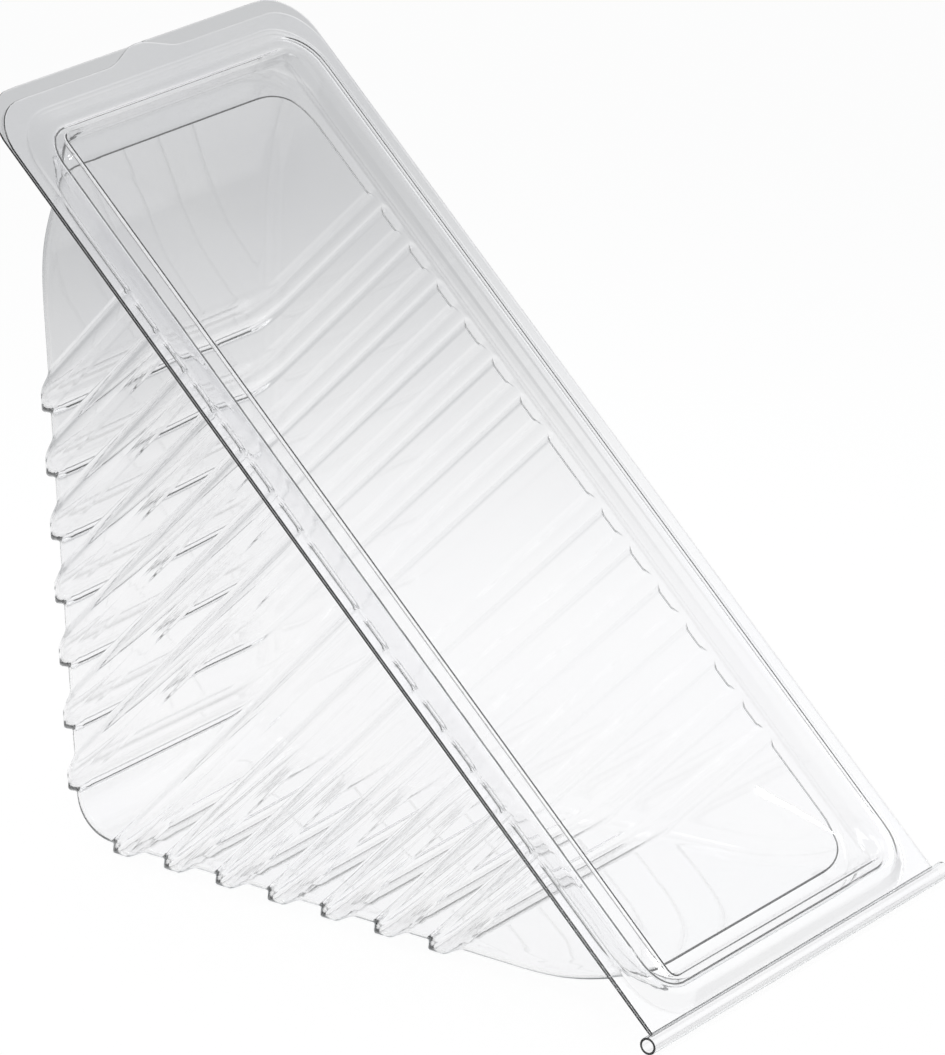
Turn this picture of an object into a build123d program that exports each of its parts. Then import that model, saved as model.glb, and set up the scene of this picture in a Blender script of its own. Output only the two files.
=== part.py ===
from build123d import *
import os
from math import asin, atan, cos, degrees, pi, radians, sin, sqrt, tan

# Clear hinged wedge box for two stacked triangular sandwich halves, formed from one thin sheet.
# It is drawn with its mouth level: X runs from the finger tabs (-X) to the hinge (+X) along the
# long side of the triangle, Z points out of the mouth, and Z = 0 is the top of the lid's flange.
# At the end both pieces are turned to stand on the ribbed leg on the hinge side, as in use.

# Sheet, millimetres
SHEET = 0.4
NEST_GAP = 0.3

# Wedge between the two square-on legs, measured in the valleys between the ribs
VALLEY_DEPTH = 91.4
APEX_RADIUS = 7.75
LEG_CURVE_DEPTH = 24.5
LEG_CURVE_RADIUS = 75.0
LEG_EDGE_CHAMFER = 1.2
WALL_HALF_WIDTH = 33.2
WALL_HALF_LENGTH = 84.7
WALL_CORNER_RADIUS = 12.4
DRAFT_ANGLE = 4.17

# Smooth band under the mouth
BAND_HALF_WIDTH = 34.15
BAND_HALF_LENGTH = 85.2
BAND_CORNER_RADIUS = 13.0
BAND_DEPTH = 5.8
BAND_STEP = 0.7
RIM_CORNER_RADIUS = 6.0
RIM_DEPTH = 1.5

# Ribs that wrap the legs and side walls
RIB_COUNT = 7
RIB_PITCH = 8.0
RIB_WIDTH = 5.1
RIB_FIRST = 5.15
RIB_HEIGHT_LEG = 1.9
RIB_HEIGHT_WALL = 0.95
RIB_CORNER_CHAMFER = 2.4
RIB_EDGE_RADIUS = 1.0
RIB_TOP_IN_BAND = 2.5

# Flanges with finger tabs
FLANGE_HALF_WIDTH = 41.15
FLANGE_HALF_LENGTH = 92.5
TAB_REACH = 2.5
TAB_CORNER_RADIUS = 8.5
TAB_CURVE_START = 0.5
TAB_CURVE_LENGTH = 9.3

# Raised ridge round the lid, above the flange
RIDGE_HEIGHT = 1.45
RIDGE_TOP_HALF_WIDTH = 35.7
RIDGE_TOP_HALF_LENGTH = 86.8
RIDGE_CORNER_RADIUS = 7.0
RAMP_RUN = 2.7

# Recessed panel inside the ridge
PANEL_HALF_WIDTH = 29.8
PANEL_HALF_LENGTH = 83.0
PANEL_CORNER_RADIUS = 0.5
PANEL_WALL_RUN = 0.65
PANEL_CROWN = 1.2
PANEL_END_CROWN = 2.3

# Hinge bead: lid and tray each carry half of a rolled tube, joined on its outer line
BEAD_RADIUS = 1.45
BEAD_CENTRE = 90.7
BEAD_HALF_LENGTH = 43.3

# Levels and slopes that follow from the sizes above
UP = (0, 0, 1)
DOWN = (0, 0, -1)
PARTING = -SHEET
DRAFT = tan(radians(DRAFT_ANGLE))
RAMP_ANGLE = atan(RAMP_RUN / RIDGE_HEIGHT)
PANEL_WALL_ANGLE = atan(PANEL_WALL_RUN / RIDGE_HEIGHT)
RAMP_SHIFT = SHEET * tan((pi / 2 - RAMP_ANGLE) / 2)
WALL_SHIFT = SHEET * tan((pi / 2 - PANEL_WALL_ANGLE) / 2)
TRAY_BEAD_TOP = RIDGE_HEIGHT - SHEET - NEST_GAP
TRAY_BEAD_HEIGHT = TRAY_BEAD_TOP - PARTING
NEST_INSET = RAMP_SHIFT + NEST_GAP / cos(RAMP_ANGLE)
LEG_LEVEL = (VALLEY_DEPTH / sqrt(2)) + RIB_HEIGHT_LEG
CORNER_CUT = 2 - sqrt(2)


def frustum(half_length, half_width, radius, base, height, spread):
    """Rounded rectangle that grows by spread on every side over the height, upwards from base."""
    outline = Pos(0, 0, base) * RectangleRounded(2 * half_length, 2 * half_width, radius)
    return extrude(outline, amount=height, dir=UP, taper=-degrees(atan(spread / height)))


def drafted_well(half_length, half_width, radius, top, depth):
    """Rounded rectangle at the mouth level that narrows downwards with the mould's draft."""
    grow = top * DRAFT
    outline = RectangleRounded(2 * (half_length + grow), 2 * (half_width + grow), radius + grow)
    return extrude(Pos(0, 0, top) * outline, amount=top + depth, dir=DOWN, taper=DRAFT_ANGLE)


def leg_prism(depth, point_radius):
    """Wedge whose straight legs meet at the given depth and steepen a little near the mouth."""
    above = SHEET + RIDGE_HEIGHT
    start = (depth - LEG_CURVE_DEPTH, -LEG_CURVE_DEPTH)
    turn = pi / 4 + asin((above + LEG_CURVE_DEPTH) / LEG_CURVE_RADIUS - 1 / sqrt(2))

    def on_curve(angle):
        forward = LEG_CURVE_RADIUS * sin(angle) / sqrt(2)
        inward = LEG_CURVE_RADIUS * (1 - cos(angle)) / sqrt(2)
        return (start[0] + forward - inward, start[1] + forward + inward)

    legs = Polyline(start, (0, -depth), (-start[0], start[1]))
    middle, end = on_curve(turn / 2), on_curve(turn)
    curve = ThreePointArc(start, middle, end)
    outline = legs + curve + Line(end, (-end[0], end[1])) + mirror(curve, about=Plane.YZ)
    profile = make_face(Plane.XZ * outline)
    if point_radius > 0:
        point = profile.vertices().sort_by(Axis.Z)[0]
        profile = fillet(point, point_radius)
    return extrude(profile, amount=BAND_HALF_WIDTH + RIB_HEIGHT_WALL, both=True)


def smooth_wedge(offset, top):
    """The wedge in the valleys, moved outwards by offset, with its leg edges eased."""
    legs = leg_prism(VALLEY_DEPTH + offset * sqrt(2), APEX_RADIUS + offset)
    walls = drafted_well(
        WALL_HALF_LENGTH + offset,
        WALL_HALF_WIDTH + offset,
        WALL_CORNER_RADIUS + offset,
        top,
        VALLEY_DEPTH,
    )
    wedge = legs & walls

    def is_leg_edge(edge):
        below_mouth = max(v.Z for v in edge.vertices()) < top - 1
        across = abs((edge @ 1 - edge @ 0).normalized().Y) > 0.99
        return below_mouth and not across

    return chamfer(wedge.edges().filter_by(is_leg_edge), LEG_EDGE_CHAMFER + offset * CORNER_CUT)


def rib(near_apex, offset):
    """One rib on the leg on the +X side, from one side wall across the leg to the other."""
    low = near_apex - offset
    high = near_apex + RIB_WIDTH + offset
    top = -RIB_TOP_IN_BAND
    bottom = -VALLEY_DEPTH - 2 * RIB_HEIGHT_LEG
    crest = WALL_HALF_WIDTH + RIB_HEIGHT_WALL + offset
    upper = crest + top * DRAFT
    lower = crest + bottom * DRAFT
    section = Polyline((-upper, top), (upper, top), (lower, bottom), (-lower, bottom), close=True)
    slab = extrude(Pos(low, 0, 0) * make_face(Plane.YZ * section), amount=high - low, dir=(1, 0, 0))
    crest_legs = leg_prism(VALLEY_DEPTH + (RIB_HEIGHT_LEG + offset) * sqrt(2), 0)
    body = slab & crest_legs
    leg_face = body.faces().filter_by(lambda f: f.normal_at().Z < -0.5)[0]
    long_edges = leg_face.edges().filter_by(lambda e: abs((e @ 1 - e @ 0).normalized().Y) < 0.5)
    body = chamfer(long_edges, RIB_CORNER_CHAMFER + offset * CORNER_CUT)
    sides = body.faces().filter_by(lambda f: abs(f.normal_at().X) > 0.99)
    rims = [e for side in sides for e in side.edges() if e.center().Z < top - 0.01]
    if offset < 0:
        return chamfer(rims, RIB_EDGE_RADIUS)
    return fillet(rims, RIB_EDGE_RADIUS)


def mouth_band(offset, top):
    """Smooth band under the mouth with a stepped foot, and squarer corners close to the rim."""
    length = BAND_HALF_LENGTH + offset
    width = BAND_HALF_WIDTH + offset
    band = drafted_well(length, width, BAND_CORNER_RADIUS + offset, top, BAND_DEPTH + offset)
    band = chamfer(band.faces().sort_by(Axis.Z)[0].edges(), BAND_STEP)
    return band + drafted_well(length, width, RIM_CORNER_RADIUS + offset, top, RIM_DEPTH + offset)


def tray_form(offset, top):
    """Everything below the mouth as one block, its faces moved outwards by offset."""
    form = smooth_wedge(offset, top)
    form += mouth_band(offset, top)
    ribs = [rib(RIB_FIRST + i * RIB_PITCH, offset) for i in range(RIB_COUNT)]
    ribs += [mirror(one, about=Plane.YZ) for one in ribs]
    return form + ribs


def flange_outline():
    """Lid flange in plan: the full tab on the far half, a curve back to the short edge."""
    end = BEAD_CENTRE - BEAD_RADIUS + SHEET / 2
    tab = -FLANGE_HALF_LENGTH - TAB_REACH
    short = -FLANGE_HALF_LENGTH
    width = FLANGE_HALF_WIDTH
    turn = TAB_CORNER_RADIUS
    curve_end = -TAB_CURVE_START - TAB_CURVE_LENGTH
    middle = ((tab + short) / 2, (-TAB_CURVE_START + curve_end) / 2)
    far_corner = TangentArc((tab + turn, width), (tab, width - turn), tangent=(-1, 0))
    tab_edge = Line((tab, width - turn), (tab, -TAB_CURVE_START))
    curve_out = TangentArc((tab, -TAB_CURVE_START), middle, tangent=(0, -1))
    curve_back = TangentArc(middle, (short, curve_end), tangent=curve_out % 1)
    short_edge = Line((short, curve_end), (short, -width + turn))
    near_corner = TangentArc((short, -width + turn), (short + turn, -width), tangent=(0, -1))
    rest = Polyline((short + turn, -width), (end, -width), (end, width), (tab + turn, width))
    return make_face([far_corner, tab_edge, curve_out, curve_back, short_edge, near_corner, rest])


def half_bead(side):
    """Half of the rolled hinge tube, above (+1) or below (-1) the parting plane."""
    ring = Circle(BEAD_RADIUS) - Circle(BEAD_RADIUS - SHEET)
    half = ring & Pos(0, side * BEAD_RADIUS) * Rectangle(4 * BEAD_RADIUS, 2 * BEAD_RADIUS)
    section = Plane.XZ * half
    return Pos(BEAD_CENTRE, 0, PARTING) * extrude(section, amount=BEAD_HALF_LENGTH, both=True)


def vault(level):
    """Pillow-shaped block under the panel: two shallow cylinders that meet in corner creases."""
    base = PARTING - SHEET

    def arch(plane, half, rise):
        sides = Polyline((half, level), (half, base), (-half, base), (-half, level))
        crown = ThreePointArc((-half, level), (0, level + rise), (half, level))
        return make_face(plane * (sides + crown))

    along = extrude(arch(Plane.YZ, PANEL_HALF_WIDTH, PANEL_CROWN), PANEL_HALF_LENGTH, both=True)
    across = extrude(arch(Plane.XZ, PANEL_HALF_LENGTH, PANEL_END_CROWN), PANEL_HALF_WIDTH, both=True)
    return along & across


def build_tray():
    flange = mirror(flange_outline(), about=Plane.XZ)
    foot_x = RIDGE_TOP_HALF_LENGTH + RAMP_RUN - NEST_INSET
    foot_y = RIDGE_TOP_HALF_WIDTH + RAMP_RUN - NEST_INSET
    foot_radius = RIDGE_CORNER_RADIUS + RAMP_RUN - NEST_INSET
    run = RAMP_RUN * TRAY_BEAD_HEIGHT / RIDGE_HEIGHT
    tray = extrude(Pos(0, 0, PARTING) * flange, amount=SHEET, dir=DOWN)
    tray += frustum(foot_x, foot_y, foot_radius, PARTING, TRAY_BEAD_HEIGHT, -run)
    tray -= frustum(
        foot_x - RAMP_SHIFT,
        foot_y - RAMP_SHIFT,
        foot_radius - RAMP_SHIFT,
        PARTING - SHEET,
        TRAY_BEAD_HEIGHT,
        -run,
    )
    tray += tray_form(0, TRAY_BEAD_TOP)
    tray += half_bead(-1)
    return tray - tray_form(-SHEET, TRAY_BEAD_TOP + SHEET)


def build_lid():
    foot_x = RIDGE_TOP_HALF_LENGTH + RAMP_RUN
    foot_y = RIDGE_TOP_HALF_WIDTH + RAMP_RUN
    foot_radius = RIDGE_CORNER_RADIUS + RAMP_RUN
    lid = extrude(flange_outline(), amount=SHEET, dir=DOWN)
    lid += frustum(foot_x, foot_y, foot_radius, 0, RIDGE_HEIGHT, -RAMP_RUN)
    under_ridge = frustum(
        foot_x - RAMP_SHIFT,
        foot_y - RAMP_SHIFT,
        foot_radius - RAMP_SHIFT,
        PARTING,
        RIDGE_HEIGHT,
        -RAMP_RUN,
    )
    under_ridge -= frustum(
        PANEL_HALF_LENGTH + WALL_SHIFT,
        PANEL_HALF_WIDTH + WALL_SHIFT,
        PANEL_CORNER_RADIUS + WALL_SHIFT,
        PARTING,
        RIDGE_HEIGHT,
        PANEL_WALL_RUN,
    )
    lid -= under_ridge
    lid -= frustum(
        PANEL_HALF_LENGTH,
        PANEL_HALF_WIDTH,
        PANEL_CORNER_RADIUS,
        0,
        RIDGE_HEIGHT,
        PANEL_WALL_RUN,
    )
    lid -= Pos(0, 0, PARTING / 2) * Box(2 * PANEL_HALF_LENGTH, 2 * PANEL_HALF_WIDTH, SHEET)
    lid += vault(0) - vault(PARTING)
    return lid + half_bead(1)


# Standing on the ribs of the +X leg: the level mouth is turned 45 degrees about Y,
# and the pair is centred over the origin, which lies on the surface it stands on.
pieces = {"tray": Rot(0, 45, 0) * build_tray(), "lid": Rot(0, 45, 0) * build_lid()}
box = Compound(list(pieces.values())).bounding_box()
stand = Pos(-box.center().X, 0, LEG_LEVEL)

os.makedirs("parts", exist_ok=True)
for name, piece in pieces.items():
    standing = stand * piece
    export_step(standing.solid(), f"parts/{name}.step")
    print(name, len(standing.solids()), round(standing.volume), standing.bounding_box())
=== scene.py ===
import math

import bmesh
import bpy
import numpy as np
from mathutils import Matrix, Vector


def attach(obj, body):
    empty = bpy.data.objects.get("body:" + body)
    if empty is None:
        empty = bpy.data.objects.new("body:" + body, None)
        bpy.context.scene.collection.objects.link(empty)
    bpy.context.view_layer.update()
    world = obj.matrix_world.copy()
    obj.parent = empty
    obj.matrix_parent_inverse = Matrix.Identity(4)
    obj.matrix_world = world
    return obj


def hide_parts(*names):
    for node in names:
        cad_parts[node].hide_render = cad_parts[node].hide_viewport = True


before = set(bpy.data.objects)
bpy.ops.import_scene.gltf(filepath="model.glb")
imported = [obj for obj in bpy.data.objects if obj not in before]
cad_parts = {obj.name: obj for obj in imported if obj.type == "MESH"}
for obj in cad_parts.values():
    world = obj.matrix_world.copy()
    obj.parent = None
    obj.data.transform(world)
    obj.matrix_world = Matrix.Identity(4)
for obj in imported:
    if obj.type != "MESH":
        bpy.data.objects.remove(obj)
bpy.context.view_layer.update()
MM = 0.001

# Both pieces are drawn with the mouth level, in millimetres: x runs from the finger tabs (-x) to the
# hinge (+x), y across, z out of the mouth. standing() turns them into the shared frame, in metres.
SHEET = 0.4
# The legs slope at 45 degrees to the mouth, so a level step is this much longer than a square one
SLOPE = math.sqrt(2)

# Wedge
LEG_DEPTH = 91.4
APEX_RADIUS = 7.75
LEG_CURVE_DEPTH = 24.5
LEG_CURVE_RADIUS = 75.0
LEG_EDGE_RADIUS = 3.4
WALL_HALF_LENGTH = 84.7
WALL_HALF_WIDTH = 33.2
WALL_CORNER_RADIUS = 12.4
DRAFT = math.tan(math.radians(4.17))

# Ribs
RIB_COUNT = 7
RIB_PITCH = 8.0
RIB_FIRST = 5.15
RIB_WIDTH = 5.1
RIB_RIM = 1.6
RIB_EDGE_RADIUS = 4.8
RIB_HEIGHT_LEG = 1.9
RIB_HEIGHT_WALL = 0.95
# The inner face's ribs are this much narrower on each side, so the flank keeps the sheet's thickness
RIB_INSET = 0.18

# Smooth band under the mouth, with outlines as half length, half width and corner radius
BAND_DEPTH = 5.8
BAND_STEP = 0.7
BAND = (85.2, 34.15, 13.0)
MOUTH = (85.2, 34.15, 6.0)
MOUTH_CORNER_DEPTH = 2.0
MOUTH_ROUNDING = 0.45

# Nesting bead round the tray's mouth
NEST_CREST = (86.62, 35.52, 6.8)
NEST_FOOT = (88.76, 37.66, 8.96)
NEST_BORDER = (89.1, 38.0, 9.3)
# Level of the crest on the sheet's outside and inside
NEST_CREST_OUTSIDE = 0.35
NEST_CREST_INSIDE = 0.75

# Lid's ridge and panel
RIDGE_HEIGHT = 1.45
RIDGE_BORDER = (89.8, 38.7, 10.0)
RIDGE_FOOT = (89.5, 38.4, 9.7)
RIDGE_SHOULDER = (86.8, 35.7, 7.0)
RIDGE_LIP = (83.65, 30.45, 1.4)
RIDGE_ROUNDING = 0.4
RIDGE_RUN_SHIFT = 0.1
RIDGE_WALL_SHIFT = 0.26
PANEL_HALF_LENGTH = 83.0
PANEL_HALF_WIDTH = 29.8
PANEL_EDGE = (PANEL_HALF_LENGTH, PANEL_HALF_WIDTH, 0.8)
PANEL_BORDER = (82.5, 29.3, 0.7)
PANEL_CROWN = 1.2
PANEL_END_CROWN = 2.3
CREASE_WIDTH = 0.02
CREASE_FADE = 0.15
CREASE_FADE_HEIGHT = 2

# Waves of the stretched sheet
RIPPLE_LENGTH = 22.0
RIPPLE_DEPTH = 0.03

# Flange and finger tabs
FLANGE_HALF_LENGTH = 92.5
FLANGE_HALF_WIDTH = 41.15
FLANGE_CORNER_RADIUS = 8.5
TAB_REACH = 2.5
TAB_CURVE_START = 0.5
TAB_CURVE_LENGTH = 9.3
HINGE_EDGE = 89.45
CONTACT_GAP = 0.03
# Share of the sheet's thickness, and how far the rounded cut edge is drawn back there
RIM_PROFILE = ((0.0, 0.16), (0.18, 0.05), (0.5, 0.0), (0.82, 0.05), (1.0, 0.16))
# A loop this far in keeps the flange flat up to its rounded edge
RIM_SUPPORT = 0.22

# Rolled hinge bead
BEAD_CENTRE = 90.7
BEAD_RADIUS = 1.45
BEAD_HALF_LENGTH = 43.3
BEAD_TURN_POINTS = 25
BEAD_SLICES = 13

# Places of the mesh's slices and loops, which lie closer together where the form turns
FAN_START = 66.0
FAN_STEPS = 28
WALL_STEPS = 12
BOTTOM_STEPS = 22
PANEL_LOOPS = 30
LID_SLICES = 45
EASED_STEPS = 4
# Less than half of a side is rounded from either end, so that two turns never meet
EASED_SHARE = 0.48
MIDDLE_SLICES = (0, 0.9, 1.8, 2.7, 3.6, 4.4)
FLANK_SLICES = (-0.2, 0.05, 0.3, 0.55, 0.8, 1.05, 1.3, 1.55, 1.9)
END_SLICES = (60.5, 62.5, 64.5)
TAB_CURVE_POINTS = 11
TAB_END_PLACES = (12.5, 16, 20, 24, 28, 31.5, 34, 36, 38, 39.7)
WALL_SPACING = 1 - (1 - np.arange(WALL_STEPS + 1) / WALL_STEPS) ** 1.8
BOTTOM_SPACING = 1 - (np.arange(BOTTOM_STEPS + 1) / BOTTOM_STEPS) ** 1.25
PANEL_SPACING = 1 - (np.arange(1, PANEL_LOOPS + 1) / PANEL_LOOPS) ** 1.2

# The skin is searched for along a ray: how far it looks, and how often it halves the stretch
SEARCH_REACH = 140.0
HALVINGS = 46
# The panel's last loop is closed up to this, and points nearer than the merge distance become one
MEETING = 0.00001
MERGE_DISTANCE = 0.0005
SHARP_ANGLE = math.radians(50)

# Place of the level-mouth drawing in the shared frame
STAND_SHIFT = 1.2195
STAND_LEVEL = 66.53

# Studio, in metres
TABLE_EDGE = 0.0662
TABLE_WHITENESS = 0.94
FLOOR_REACH = 6.0
FLOOR_DROP = 0.15
# Painted shade: between these distances from the box, the paper seen through the sheet fades from near
# white to grey, standing in for light falling off
PAINTED_SHADE_START = 0.10
PAINTED_SHADE_END = 0.46
ROOM_STRENGTH = 0.97
GLOW_STRENGTH = 0.25
# Each part of the glow: the way it faces, and the cosines between which it fades in
GLOW_SIDE = ((0.81, 0.0, -0.58), -0.17, -0.04)
GLOW_CENTRE = ((0.33, 0.76, 0.55), 0.72, 0.93)
# Each lamp: place, target, width, height and power in watts
OVERHEAD_SOFTBOX = ((-0.2, -0.5, 1.3), (0, 0, 0.05), 0.9, 0.6, 5.0)
GLINT_LAMP = ((0.78, 1.63, 0.92), (0.05, 0, 0.03), 0.07, 0.07, 0.8)

# Camera at the photograph's viewing angle
CAMERA_PLACE = (0.57997, -0.79960, 0.40997)
CAMERA_FORWARD = (-0.55301, 0.76405, -0.33228)
CAMERA_RIGHT = (0.81210, 0.58342, -0.01005)
CAMERA_LENS = 219.52
CAMERA_SENSOR = 36
CAMERA_VIEW_END = 20


def linear(hex_colour):
    """sRGB hex as the linear RGBA that shader sockets take."""
    parts = [int(hex_colour[i : i + 2], 16) / 255 for i in (1, 3, 5)]
    return [c / 12.92 if c <= 0.04045 else ((c + 0.055) / 1.055) ** 2.4 for c in parts] + [1.0]


def add_node(tree, kind, inputs=None, **settings):
    """Adds a node. An input takes a value, a socket, or a node, whose first output is then linked."""
    node = tree.nodes.new(kind)
    for name, value in settings.items():
        setattr(node, name, value)
    for key, value in (inputs or {}).items():
        if isinstance(value, bpy.types.Node):
            value = value.outputs[0]
        if isinstance(value, bpy.types.NodeSocket):
            tree.links.new(value, node.inputs[key])
        else:
            node.inputs[key].default_value = value
    return node


def new_material(name):
    """An empty material and its node tree."""
    material = bpy.data.materials.new(name)
    material.use_nodes = True
    material.node_tree.nodes.clear()
    return material, material.node_tree


def clear_pet():
    """Thermoformed clear PET: gives the eye sharp pale highlights over a faintly grey, see-through body."""
    material, tree = new_material("thermoformed clear PET")
    place = add_node(tree, "ShaderNodeTexCoord")
    waves = {"Vector": place.outputs["Object"], "Scale": 1 / (RIPPLE_LENGTH * MM), "Detail": 0.0}
    ripple = add_node(tree, "ShaderNodeTexNoise", waves)
    depth = {"Height": ripple.outputs["Fac"], "Strength": 1.0, "Distance": RIPPLE_DEPTH * MM}
    bump = add_node(tree, "ShaderNodeBump", depth)
    shades = {0: ripple.outputs["Fac"], 6: linear("#fcfcfd"), 7: linear("#fefefe")}
    tint = add_node(tree, "ShaderNodeMix", shades, data_type="RGBA")
    gloss = {
        "Base Color": tint.outputs[2],
        "Roughness": 0.02,
        "IOR": 1.575,
        "Transmission Weight": 1.0,
        "Normal": bump,
    }
    sheet = add_node(tree, "ShaderNodeBsdfPrincipled", gloss)
    # The thin sheet casts only a faint shadow
    through = add_node(tree, "ShaderNodeBsdfTransparent", {"Color": linear("#f2f4f5")})
    path = add_node(tree, "ShaderNodeLightPath")
    mixed = add_node(tree, "ShaderNodeMixShader", {0: path.outputs["Is Shadow Ray"], 1: sheet, 2: through})
    add_node(tree, "ShaderNodeOutputMaterial", {"Surface": mixed})
    return material


def paper(whiteness):
    """White table paper: white to the camera. Through the sheet it shows a painted shade, a fade to grey
    away from the box in place of light falling off.
    """
    material, tree = new_material("white table paper with painted shade")
    place = add_node(tree, "ShaderNodeTexCoord")
    away = add_node(tree, "ShaderNodeVectorMath", {0: place.outputs["Object"]}, operation="LENGTH")
    stretch = {0: away.outputs["Value"], 1: PAINTED_SHADE_START, 2: PAINTED_SHADE_END, 3: 0.0, 4: 1.0}
    painted_shade_share = add_node(tree, "ShaderNodeMapRange", stretch, interpolation_type="SMOOTHSTEP")
    # Painted shade: the colour greys with distance from the box in place of light falling off. It tints
    # both the matt paper and its glow to rays through the sheet.
    shades = {0: painted_shade_share, 6: linear("#fbfbfb"), 7: linear("#c2c3c4")}
    painted_shade_tone = add_node(tree, "ShaderNodeMix", shades, data_type="RGBA")
    matt = add_node(tree, "ShaderNodeBsdfDiffuse", {"Color": painted_shade_tone.outputs[2]})
    path = add_node(tree, "ShaderNodeLightPath")
    to_camera = path.outputs["Is Camera Ray"]
    shown = add_node(
        tree, "ShaderNodeMix", {0: to_camera, 6: painted_shade_tone.outputs[2], 7: linear("#ffffff")}, data_type="RGBA"
    )
    white = add_node(tree, "ShaderNodeEmission", {"Color": shown.outputs[2], "Strength": 1.0})
    direct = add_node(tree, "ShaderNodeMath", {0: to_camera, 1: whiteness}, operation="MULTIPLY")
    seen = add_node(
        tree, "ShaderNodeMath", {0: path.outputs["Is Transmission Ray"], 1: direct}, operation="ADD"
    )
    mixed = add_node(tree, "ShaderNodeMixShader", {0: seen, 1: matt, 2: white})
    add_node(tree, "ShaderNodeOutputMaterial", {"Surface": mixed})
    return material


def studio_floor():
    """The table top ends just under the hinge, so the lid can hang past its edge to the lower floor."""
    levels = (("table", TABLE_EDGE, 0.0, TABLE_WHITENESS), ("floor", FLOOR_REACH, -FLOOR_DROP, 1.0))
    for name, end, level, whiteness in levels:
        ends = (-FLOOR_REACH, end)
        corners = [(x, -FLOOR_REACH, level) for x in ends] + [(x, FLOOR_REACH, level) for x in ends[::-1]]
        mesh = bpy.data.meshes.new(name)
        mesh.from_pydata(corners, [], [(0, 1, 2, 3)])
        mesh.materials.append(paper(whiteness))
        plane = bpy.data.objects.new(name, mesh)
        bpy.context.scene.collection.objects.link(plane)


def softbox(name, place, target, width, height, power):
    """Rectangular soft light that faces the target."""
    light = bpy.data.lights.new(name, "AREA")
    light.shape = "RECTANGLE"
    light.size = width
    light.size_y = height
    light.energy = power
    lamp = bpy.data.objects.new(name, light)
    lamp.location = place
    lamp.rotation_euler = (Vector(target) - Vector(place)).to_track_quat("-Z", "Y").to_euler()
    bpy.context.scene.collection.objects.link(lamp)


def studio():
    """Pale studio with one wide soft glow that the lid mirrors over all but its upper end."""
    world = bpy.data.worlds.new("pale studio")
    bpy.context.scene.world = world
    world.use_nodes = True
    tree = world.node_tree
    direction = add_node(tree, "ShaderNodeTexCoord").outputs["Generated"]
    shares = []
    for facing, start, end in (GLOW_SIDE, GLOW_CENTRE):
        along = add_node(tree, "ShaderNodeVectorMath", {0: direction, 1: facing}, operation="DOT_PRODUCT")
        stretch = {0: along.outputs["Value"], 1: start, 2: end, 3: 0.0, 4: 1.0}
        shares.append(add_node(tree, "ShaderNodeMapRange", stretch, interpolation_type="SMOOTHSTEP"))
    glow = add_node(tree, "ShaderNodeMath", dict(enumerate(shares)), operation="MULTIPLY")
    strength = add_node(
        tree, "ShaderNodeMath", {0: glow, 1: GLOW_STRENGTH, 2: ROOM_STRENGTH}, operation="MULTIPLY_ADD"
    )
    background = tree.nodes["Background"]
    tree.links.new(strength.outputs[0], background.inputs["Strength"])
    background.inputs["Color"].default_value = linear("#fafbfc")
    softbox("overhead softbox", *OVERHEAD_SOFTBOX)
    softbox("glint lamp", *GLINT_LAMP)


def camera():
    """Long lens from the front right, slightly above, fitted to the photograph."""
    right = Vector(CAMERA_RIGHT)
    look = Vector(CAMERA_FORWARD).to_track_quat("-Z", "Y").to_matrix()
    roll = math.atan2(right.dot(look.col[1]), right.dot(look.col[0]))
    data = bpy.data.cameras.new("camera")
    data.lens = CAMERA_LENS
    data.sensor_width = CAMERA_SENSOR
    data.clip_end = CAMERA_VIEW_END
    eye = bpy.data.objects.new("camera", data)
    turned = look.to_4x4() @ Matrix.Rotation(roll, 4, "Z")
    eye.matrix_world = Matrix.Translation(CAMERA_PLACE) @ turned
    bpy.context.scene.collection.objects.link(eye)
    bpy.context.scene.camera = eye


def standing(points):
    """Level-mouth millimetres as metres in the shared frame, with the box on its hinge-side leg."""
    x, y, z = np.moveaxis(np.asarray(points, float), -1, 0)
    turned = ((x + z) / SLOPE + STAND_SHIFT, y, (z - x) / SLOPE + STAND_LEVEL)
    return np.stack(turned, -1) * MM


def leg_distance(points, depth):
    """Distance outside the two legs: rounded at the point, straight, then steeper near the mouth."""
    x, z = np.abs(points[..., 0]), points[..., 2]
    straight = (x - z - depth) / SLOPE
    centre = APEX_RADIUS * SLOPE - depth
    point = np.hypot(x, z - centre) - APEX_RADIUS
    start = depth - LEG_CURVE_DEPTH
    turn = LEG_CURVE_RADIUS / SLOPE
    curved = np.hypot(x - start + turn, z + LEG_CURVE_DEPTH - turn) - LEG_CURVE_RADIUS
    above = x - start + z + LEG_CURVE_DEPTH > 0
    return np.where(x < centre - z, point, np.where(above, curved, straight))


def outline_distance(x, y, half_length, half_width, radius):
    """Distance outside a rounded rectangle."""
    along = np.abs(x) - (half_length - radius)
    across = np.abs(y) - (half_width - radius)
    corner = np.hypot(np.maximum(along, 0), np.maximum(across, 0))
    return corner + np.minimum(np.maximum(along, across), 0) - radius


def form_distance(points, offset, pressed):
    """Distance outside the wedge below the mouth, in its valleys or on its rib crests."""
    depth = LEG_DEPTH + (offset + pressed * RIB_HEIGHT_LEG) * SLOPE
    grow = offset + points[..., 2] * DRAFT
    radius = WALL_CORNER_RADIUS + offset
    wall_width = WALL_HALF_WIDTH + pressed * RIB_HEIGHT_WALL + grow
    wall = outline_distance(points[..., 0], points[..., 1], WALL_HALF_LENGTH + grow, wall_width, radius)
    leg = leg_distance(points, depth)
    edge = offset + (RIB_EDGE_RADIUS if pressed else LEG_EDGE_RADIUS)
    rounded = np.hypot(np.maximum(leg + edge, 0), np.maximum(wall + edge, 0))
    return rounded + np.minimum(np.maximum(leg, wall), -edge)


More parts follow.
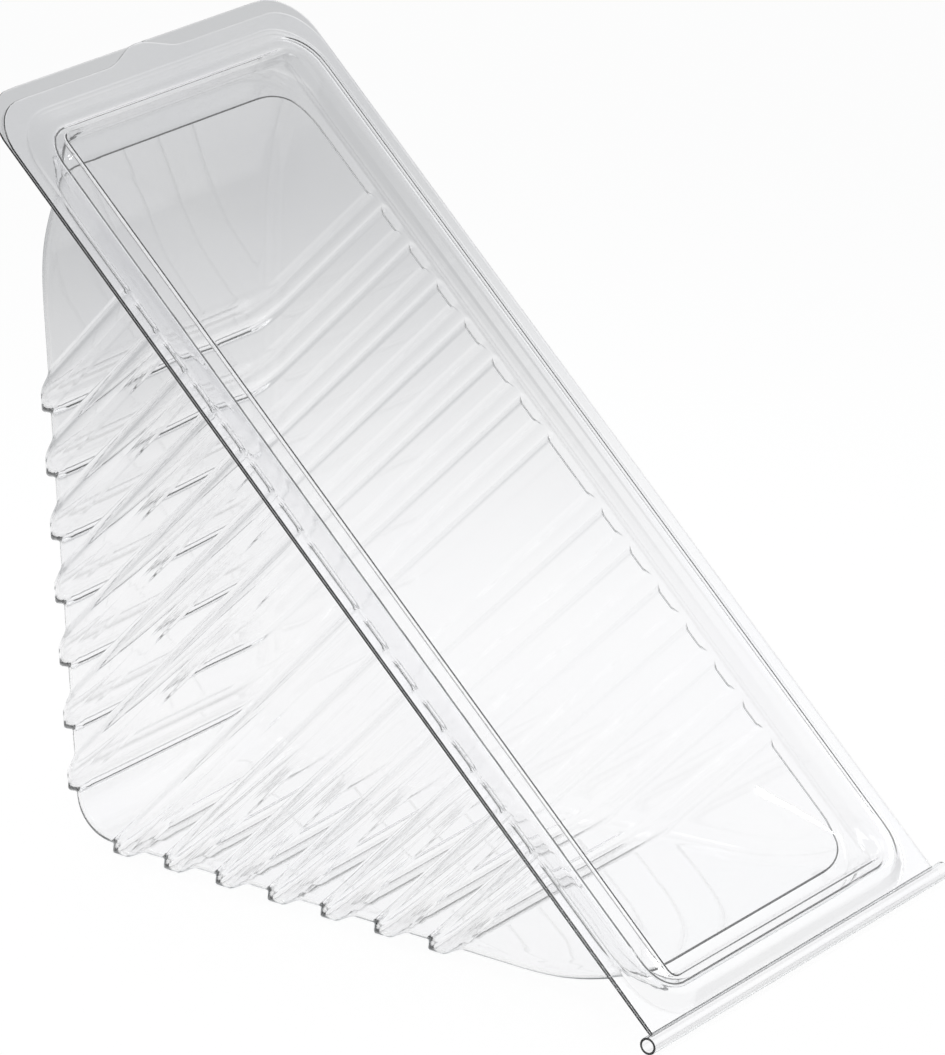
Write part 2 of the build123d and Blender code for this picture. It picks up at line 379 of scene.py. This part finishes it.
def way_out(shape, inside):
    """How far along each ray its form ends, found by halving the stretch."""
    low = np.zeros(shape)
    high = np.full(shape, SEARCH_REACH)
    for _ in range(HALVINGS):
        middle = (low + high) / 2
        within = inside(middle)
        low = np.where(within, middle, low)
        high = np.where(within, high, middle)
    return low


def on_skin(origins, rays, distance):
    """Where rays from inside a form meet its skin."""
    reach = way_out(rays.shape[:-1], lambda along: distance(origins + along[..., None] * rays) < 0)
    return origins + reach[..., None] * rays


def on_outline(across, out, distance):
    """Where rays from the fan's centre, towards the targets, meet an outline."""
    length = np.hypot(across, out)
    ray_x, ray_y = out / length, across / length
    reach = way_out(length.shape, lambda along: distance(FAN_START + along * ray_x, along * ray_y) < 0)
    return FAN_START + reach * ray_x, reach * ray_y


def section_targets(depth, top, corner):
    """Points of a plain U from one wall's top round to the other's, closer together at the corners."""
    wall = WALL_SPACING[:-1]
    depth, top, corner = (np.asarray(v, float)[..., None] for v in (depth, top, corner))
    across = np.concatenate((top + (corner - top) * wall, corner * BOTTOM_SPACING), -1)
    down = np.concatenate((depth * wall, depth * np.ones(BOTTOM_STEPS + 1)), -1)
    return np.concatenate((-across, across[..., -2::-1]), -1), np.concatenate((down, down[..., -2::-1]), -1)


def rib_stations():
    """Slices along the mouth, close together where a rib's flank rises."""
    places = list(MIDDLE_SLICES)
    for i in range(RIB_COUNT):
        foot = RIB_FIRST + i * RIB_PITCH
        places += [foot + f for f in FLANK_SLICES] + [foot + RIB_WIDTH / 2]
        places += [foot + RIB_WIDTH - f for f in reversed(FLANK_SLICES)]
    places += [*END_SLICES, FAN_START]
    return np.array([-p for p in reversed(places[1:])] + places)


def body_rows(stations, offset, level, pressed):
    """The wedge's skin as rows of points: a fan at each end and a slice at every station."""
    angles = np.linspace(0, math.pi / 2, FAN_STEPS + 1)[1:]
    start = np.concatenate((np.full(FAN_STEPS, -FAN_START), stations, np.full(FAN_STEPS, FAN_START)))
    angle = np.concatenate((-angles[::-1], 0 * stations, angles))
    origins = np.stack((start, 0 * start, np.full(start.shape, level)), -1)
    down = np.stack((np.sin(angle), 0 * angle, -np.cos(angle)), -1)
    depth = LEG_DEPTH + offset * SLOPE
    reach = on_skin(origins, down, lambda p: leg_distance(p, depth)) - origins
    reach = np.linalg.norm(reach, axis=-1)
    top = WALL_HALF_WIDTH + offset + level * DRAFT
    corner = top - reach * np.cos(angle) * DRAFT
    across, drop = section_targets(reach, np.full(reach.shape, top), corner)
    rays = drop[..., None] * down[:, None, :]
    rays[..., 1] += across
    rays /= np.linalg.norm(rays, axis=-1, keepdims=True)
    return on_skin(origins[:, None, :], rays, lambda p: form_distance(p, offset, pressed))


def loop(stations, left_x, left_y, right_x, right_y, half_width, level):
    """Closed loop: left end from -y to +y, far side, right end back to -y, near side."""
    side = stations[1:-1]
    x = np.concatenate((left_x, side, right_x[::-1], side[::-1]))
    y = np.concatenate((left_y, 0 * side + half_width, right_y[::-1], 0 * side - half_width))
    return np.stack((x, y, np.full(x.shape, float(level))), -1)


def ring(stations, half_length, half_width, radius, level):
    """Closed loop of a rounded rectangle, point for point beside the wedge's upper edge."""
    across, out = section_targets(half_length - FAN_START, half_width, half_width)
    outline = (half_length, half_width, radius)
    end_x, end_y = on_outline(across, out, lambda x, y: outline_distance(x, y, *outline))
    return loop(stations, -end_x, end_y, end_x, end_y, half_width, level)


def upper_edge(rows):
    """The upper edge of the wedge's rows in the order of a ring."""
    slices = rows[FAN_STEPS:-FAN_STEPS]
    far, near = slices[1:-1, -1], slices[1:-1, 0]
    return np.concatenate((rows[0], far, rows[-1][::-1], near[::-1]))


def tab_edge(y, side):
    """How far the finger tab carries the short flange out at this place across it."""
    along = np.clip((-side * y - TAB_CURVE_START) / TAB_CURVE_LENGTH, 0, 1)
    return FLANGE_HALF_LENGTH + TAB_REACH * (1 - along * along * (3 - 2 * along))


def flange_edge(stations, level, side, back=0.0):
    """The cut edge of the flange: tab on one half of the short end, square at the hinge."""
    curve = np.linspace(TAB_CURVE_START, TAB_CURVE_START + TAB_CURVE_LENGTH, TAB_CURVE_POINTS)
    tab_places = [0, *curve, *TAB_END_PLACES]
    width = FLANGE_HALF_WIDTH - back
    wall = (FLANGE_HALF_LENGTH - FAN_START) * WALL_SPACING
    across = np.concatenate((np.full(WALL_STEPS + 1, width), tab_places[:0:-1], [0]))
    across = np.concatenate((-across, across[-2::-1]))
    out = np.concatenate((wall, np.full(2 * BOTTOM_STEPS - 1, wall[-1]), wall[::-1]))

    def distance(x, y):
        return outline_distance(x, y, tab_edge(y, side) - back, width, FLANGE_CORNER_RADIUS)

    tab_x, tab_y = on_outline(across, out, distance)
    square, drop = section_targets(HINGE_EDGE - FAN_START, width, width)
    return loop(stations, -tab_x, tab_y, FAN_START + drop, square, width, level)


def eased(keys, reach):
    """Path through the keys (half length, half width, corner radius, level) with its turns rounded."""
    keys = [np.array(k, float) for k in keys]
    path = [keys[0]]
    for before, here, after in zip(keys, keys[1:], keys[2:]):
        ins = here + (before - here) * min(reach / np.linalg.norm((before - here)[[1, 3]]), EASED_SHARE)
        outs = here + (after - here) * min(reach / np.linalg.norm((after - here)[[1, 3]]), EASED_SHARE)
        for t in np.linspace(0, 1, EASED_STEPS):
            path.append((1 - t) ** 2 * ins + 2 * t * (1 - t) * here + t * t * outs)
    return path + [keys[-1]]


def outline_at(level, outline, grow=0.0, rounder=0.0):
    """Key of a path: an outline at a level, grown all round, with its corners rounder."""
    half_length, half_width, radius = outline
    return (half_length + grow, half_width + grow, radius + rounder, level)


class FormedSheet:
    """Collects points and faces of one closed sheet."""

    def __init__(self):
        self.points, self.press, self.inset, self.faces = [], [], [], []
        self.count = 0

    def add(self, points, press=None, inset=0.0):
        """Adds points, with the way a rib presses them, and returns their numbers."""
        points = np.asarray(points)
        flat = points.reshape(-1, 3)
        self.points.append(flat)
        self.press.append(np.zeros(flat.shape) if press is None else press.reshape(-1, 3))
        self.inset.append(np.full(len(flat), inset))
        numbers = self.count + np.arange(len(flat)).reshape(points.shape[:-1])
        self.count += len(flat)
        return numbers

    def quads(self, a, b):
        """Faces between two neighbouring rows of numbers."""
        self.faces.append(np.stack((a[:-1], a[1:], b[1:], b[:-1]), -1))

    def rings(self, numbers):
        """Faces between closed loops."""
        for a, b in zip(numbers, numbers[1:]):
            self.quads(np.append(a, a[0]), np.append(b, b[0]))

    def build(self, name):
        """The mesh in the shared frame, with what the rib tree reads stored on its points."""
        points = np.concatenate(self.points)
        press = np.concatenate(self.press)
        mesh = bpy.data.meshes.new(name)
        mesh.from_pydata(standing(points).tolist(), [], np.concatenate(self.faces).tolist())
        stored = (
            ("press", "FLOAT_VECTOR", "vector", (standing(points + press) - standing(points)).ravel()),
            ("along", "FLOAT", "value", points[:, 0].copy()),
            ("inset", "FLOAT", "value", np.concatenate(self.inset)),
        )
        for label, kind, field, values in stored:
            mesh.attributes.new(label, kind, "POINT").data.foreach_set(field, values)
        piece = bpy.data.objects.new(name, mesh)
        bpy.context.scene.collection.objects.link(piece)
        return piece


def flange_rim(sheet, stations, low, high, side):
    """Loops of the rounded cut edge between the flange's two faces."""
    loops = []
    for share, back in RIM_PROFILE:
        level = low + (high - low) * share
        loops.append(sheet.add(flange_edge(stations, level, side, back)))
    sheet.rings(loops)
    return loops


def half_tube(sheet, side):
    """Half of the rolled hinge bead, above (+1) or below (-1) the parting plane."""
    turn = np.linspace(0, math.pi, BEAD_TURN_POINTS)
    outer = np.stack((np.cos(turn), side * (CONTACT_GAP + np.sin(turn) * (1 - CONTACT_GAP))), -1)
    section = np.concatenate((outer * BEAD_RADIUS, outer[::-1] * (BEAD_RADIUS - SHEET)))
    numbers = []
    for y in np.linspace(-BEAD_HALF_LENGTH, BEAD_HALF_LENGTH, BEAD_SLICES):
        x, z = BEAD_CENTRE + section[:, 0], section[:, 1] - SHEET
        numbers.append(sheet.add(np.stack((x, np.full(x.shape, y), z), -1)))
    sheet.rings(numbers)
    for cap in (numbers[0], numbers[-1]):
        half = len(cap) // 2
        sheet.quads(cap[:half], cap[half:][::-1])


def tray_path(offset, level, flange_level, crest, ramp):
    """Path of the tray's mouth: up the smooth band, over the nesting bead and down to the flange."""
    foot = level * DRAFT
    step = level + BAND_STEP
    keys = (
        outline_at(level, BAND, offset + foot - BAND_STEP, offset - BAND_STEP),
        outline_at(step, BAND, offset + step * DRAFT, offset),
        outline_at(-MOUTH_CORNER_DEPTH, BAND, offset - MOUTH_CORNER_DEPTH * DRAFT, offset),
        outline_at(0, MOUTH, offset, offset),
        outline_at(crest, MOUTH, offset + crest * DRAFT, offset),
        outline_at(crest, NEST_CREST, -ramp),
        outline_at(flange_level, NEST_FOOT, -ramp),
        outline_at(flange_level, NEST_BORDER),
    )
    return eased(keys, MOUTH_ROUNDING)


def tray_sheet():
    """Ribbed wedge, smooth band, nesting bead, flange with its tab, and the hinge bead's lower half."""
    stations = rib_stations()
    sheet = FormedSheet()
    rim = flange_rim(sheet, stations, -2 * SHEET, -SHEET - CONTACT_GAP, -1)
    outside = (0.0, -BAND_DEPTH, -2 * SHEET, NEST_CREST_OUTSIDE, RIDGE_RUN_SHIFT, 0.0, rim[0])
    inside = (-SHEET, SHEET - BAND_DEPTH, -SHEET - CONTACT_GAP, NEST_CREST_INSIDE, 0.0, RIB_INSET, rim[-1])
    for offset, level, flange_level, crest, ramp, inset, rim_loop in (outside, inside):
        valley = body_rows(stations, offset, level, 0)
        ridge = body_rows(stations, offset, level, 1)
        rows = sheet.add(valley, ridge - valley, inset)
        for a, b in zip(rows, rows[1:]):
            sheet.quads(a, b)
        loops = [upper_edge(rows)]
        for key in tray_path(offset, level, flange_level, crest, ramp):
            half_width, height = key[1], key[3]
            points = ring(stations, *key)
            press = np.zeros(points.shape)
            # Ribs run out in the band's foot, as far as their crests stand past it
            past = WALL_HALF_WIDTH + RIB_HEIGHT_WALL + offset + height * DRAFT - half_width
            if height < level + BAND_STEP and past > 0:
                straight = np.abs(points[:, 0]) < FAN_START - MERGE_DISTANCE
                press[straight, 1] = np.sign(points[straight, 1]) * past
            loops.append(sheet.add(points, press, inset))
        loops.append(sheet.add(flange_edge(stations, flange_level, -1, RIM_SUPPORT)))
        loops.append(rim_loop)
        sheet.rings(loops)
    half_tube(sheet, -1)
    return sheet.build("clear_tray")


def panel_height(x, y):
    """Pillow of the lid's panel: two shallow crowns whose corner creases fade inwards."""
    across = PANEL_CROWN * (1 - (y / PANEL_HALF_WIDTH) ** 2)
    along = PANEL_END_CROWN * (1 - (x / PANEL_HALF_LENGTH) ** 2)
    blend = CREASE_WIDTH + CREASE_FADE * np.clip(np.minimum(across, along), 0, CREASE_FADE_HEIGHT)
    gap = np.clip(0.5 + 0.5 * (along - across) / blend, 0, 1)
    return along + (across - along) * gap - blend * gap * (1 - gap) / 2


def lid_path(drop, ramp, wall):
    """Path of the lid's ridge from the flange up, over its top and down to the panel's border."""
    top = RIDGE_HEIGHT - drop
    keys = (
        outline_at(-drop, RIDGE_BORDER, -ramp),
        outline_at(-drop, RIDGE_FOOT, -ramp),
        outline_at(top, RIDGE_SHOULDER, -ramp),
        outline_at(top, RIDGE_LIP, wall, wall),
        outline_at(-drop, PANEL_EDGE, wall, wall),
        outline_at(-drop, PANEL_BORDER),
    )
    return eased(keys, RIDGE_ROUNDING)[:-1]


def lid_sheet():
    """Flange with its tab, ramped ridge, recessed pillow panel, and the hinge bead's upper half."""
    stations = np.linspace(-FAN_START, FAN_START, LID_SLICES)
    sheet = FormedSheet()
    rim = flange_rim(sheet, stations, CONTACT_GAP - SHEET, 0.0, 1)
    length, width, radius = PANEL_BORDER
    upper = (0.0, 0.0, 0.0, rim[-1])
    lower = (SHEET - CONTACT_GAP, RIDGE_RUN_SHIFT, RIDGE_WALL_SHIFT, rim[0])
    for drop, ramp, wall, rim_loop in (upper, lower):
        loops = [rim_loop, sheet.add(flange_edge(stations, -drop, 1, RIM_SUPPORT))]
        for key in lid_path(drop, ramp, wall):
            loops.append(sheet.add(ring(stations, *key)))
        for share in PANEL_SPACING:
            reach = FAN_START + (length - FAN_START) * share + MEETING
            points = ring(stations, reach, width * share + MEETING, radius * share, 0)
            points[:, 2] = panel_height(points[:, 0], points[:, 1]) - drop
            loops.append(sheet.add(points))
        sheet.rings(loops)
    half_tube(sheet, 1)
    return sheet.build("clear_lid")


def rib_tree():
    """Presses ribs into a smooth sheet wherever its points carry a press direction."""
    tree = bpy.data.node_groups.new("pressed ribs", "GeometryNodeTree")
    tree.interface.new_socket("Geometry", in_out="INPUT", socket_type="NodeSocketGeometry")
    for name in ("Rib pitch", "First rib", "Rib width", "Rib count", "Rim width"):
        tree.interface.new_socket(name, in_out="INPUT", socket_type="NodeSocketFloat")
    tree.interface.new_socket("Material", in_out="INPUT", socket_type="NodeSocketMaterial")
    tree.interface.new_socket("Geometry", in_out="OUTPUT", socket_type="NodeSocketGeometry")
    given = add_node(tree, "NodeGroupInput").outputs
    kinds = {"along": "FLOAT", "inset": "FLOAT", "press": "FLOAT_VECTOR"}
    along, inset, press = (
        add_node(tree, "GeometryNodeInputNamedAttribute", {"Name": name}, data_type=kind)
        for name, kind in kinds.items()
    )

    # Place within the nearest rib, counted from the foot of its first flank
    middle_out = add_node(tree, "ShaderNodeMath", {0: along}, operation="ABSOLUTE")
    place = add_node(tree, "ShaderNodeMath", {0: middle_out, 1: given["First rib"]}, operation="SUBTRACT")
    share = add_node(tree, "ShaderNodeMath", {0: place, 1: given["Rib pitch"]}, operation="DIVIDE")
    number = add_node(tree, "ShaderNodeMath", {0: share}, operation="FLOOR")
    last = add_node(tree, "ShaderNodeMath", {0: given["Rib count"], 1: 1.0}, operation="SUBTRACT")
    number = add_node(tree, "ShaderNodeMath", {0: number, 1: last}, operation="MINIMUM")
    number = add_node(tree, "ShaderNodeMath", {0: number, 1: 0.0}, operation="MAXIMUM")
    start = add_node(tree, "ShaderNodeMath", {0: number, 1: given["Rib pitch"]}, operation="MULTIPLY")
    place = add_node(tree, "ShaderNodeMath", {0: place, 1: start}, operation="SUBTRACT")

    # Height from 0 in the valley to 1 on the crest, with a soft foot and rim
    left = add_node(tree, "ShaderNodeMath", {0: place, 1: inset}, operation="SUBTRACT")
    far_foot = add_node(tree, "ShaderNodeMath", {0: given["Rib width"], 1: inset}, operation="SUBTRACT")
    right = add_node(tree, "ShaderNodeMath", {0: far_foot, 1: place}, operation="SUBTRACT")
    nearer = add_node(tree, "ShaderNodeMath", {0: left, 1: right}, operation="MINIMUM")
    rim = {0: nearer, 1: given["Rim width"]}
    rise = add_node(tree, "ShaderNodeMath", rim, operation="DIVIDE", use_clamp=True)
    double = add_node(tree, "ShaderNodeMath", {0: rise, 1: 2.0}, operation="MULTIPLY")
    steep = add_node(tree, "ShaderNodeMath", {0: 3.0, 1: double}, operation="SUBTRACT")
    square = add_node(tree, "ShaderNodeMath", {0: rise, 1: rise}, operation="MULTIPLY")
    height = add_node(tree, "ShaderNodeMath", {0: square, 1: steep}, operation="MULTIPLY")

    pushed = add_node(tree, "ShaderNodeVectorMath", {0: press, "Scale": height}, operation="SCALE")
    moved = add_node(tree, "GeometryNodeSetPosition", {"Geometry": given["Geometry"], "Offset": pushed})
    real = add_node(tree, "GeometryNodeRealizeInstances", {"Geometry": moved})
    dressed = add_node(tree, "GeometryNodeSetMaterial", {"Geometry": real, "Material": given["Material"]})
    add_node(tree, "NodeGroupOutput", {"Geometry": dressed})
    return tree


def press_ribs(piece, material):
    """Runs the rib tree once and keeps its result as a plain mesh."""
    tree = rib_tree()
    modifier = piece.modifiers.new("ribs", "NODES")
    modifier.node_group = tree
    values = {
        "Rib pitch": RIB_PITCH,
        "First rib": RIB_FIRST,
        "Rib width": RIB_WIDTH,
        "Rib count": float(RIB_COUNT),
        "Rim width": RIB_RIM,
        "Material": material,
    }
    for socket in tree.interface.items_tree:
        if socket.name in values:
            modifier[socket.identifier] = values[socket.name]
    depsgraph = bpy.context.evaluated_depsgraph_get()
    pressed = bpy.data.meshes.new_from_object(piece.evaluated_get(depsgraph), depsgraph=depsgraph)
    piece.modifiers.remove(modifier)
    piece.data = pressed


def finish_sheet(piece, material):
    """Merges the seams, turns the faces outwards and keeps only real creases sharp."""
    for name in ("press", "along", "inset"):
        piece.data.attributes.remove(piece.data.attributes[name])
    shape = bmesh.new()
    shape.from_mesh(piece.data)
    bmesh.ops.remove_doubles(shape, verts=shape.verts, dist=MERGE_DISTANCE * MM)
    bmesh.ops.dissolve_degenerate(shape, dist=MERGE_DISTANCE * MM, edges=shape.edges)
    bmesh.ops.recalc_face_normals(shape, faces=shape.faces)
    open_edges = sum(len(edge.link_faces) != 2 for edge in shape.edges)
    volume = shape.calc_volume() / MM**3
    print(piece.name, "faces", len(shape.faces), "open edges", open_edges, "volume", volume)
    for edge in shape.edges:
        edge.smooth = len(edge.link_faces) == 2 and edge.calc_face_angle(0) < SHARP_ANGLE
    for face in shape.faces:
        face.smooth = True
    shape.to_mesh(piece.data)
    shape.free()
    piece.data.materials.clear()
    piece.data.materials.append(material)


pet = clear_pet()
tray = tray_sheet()
press_ribs(tray, pet)
lid = lid_sheet()
for piece, node in ((tray, "tray"), (lid, "lid")):
    finish_sheet(piece, pet)
    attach(piece, node)
    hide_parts(node)
studio_floor()
studio()
camera()
bpy.context.scene.view_settings.view_transform = "Standard"
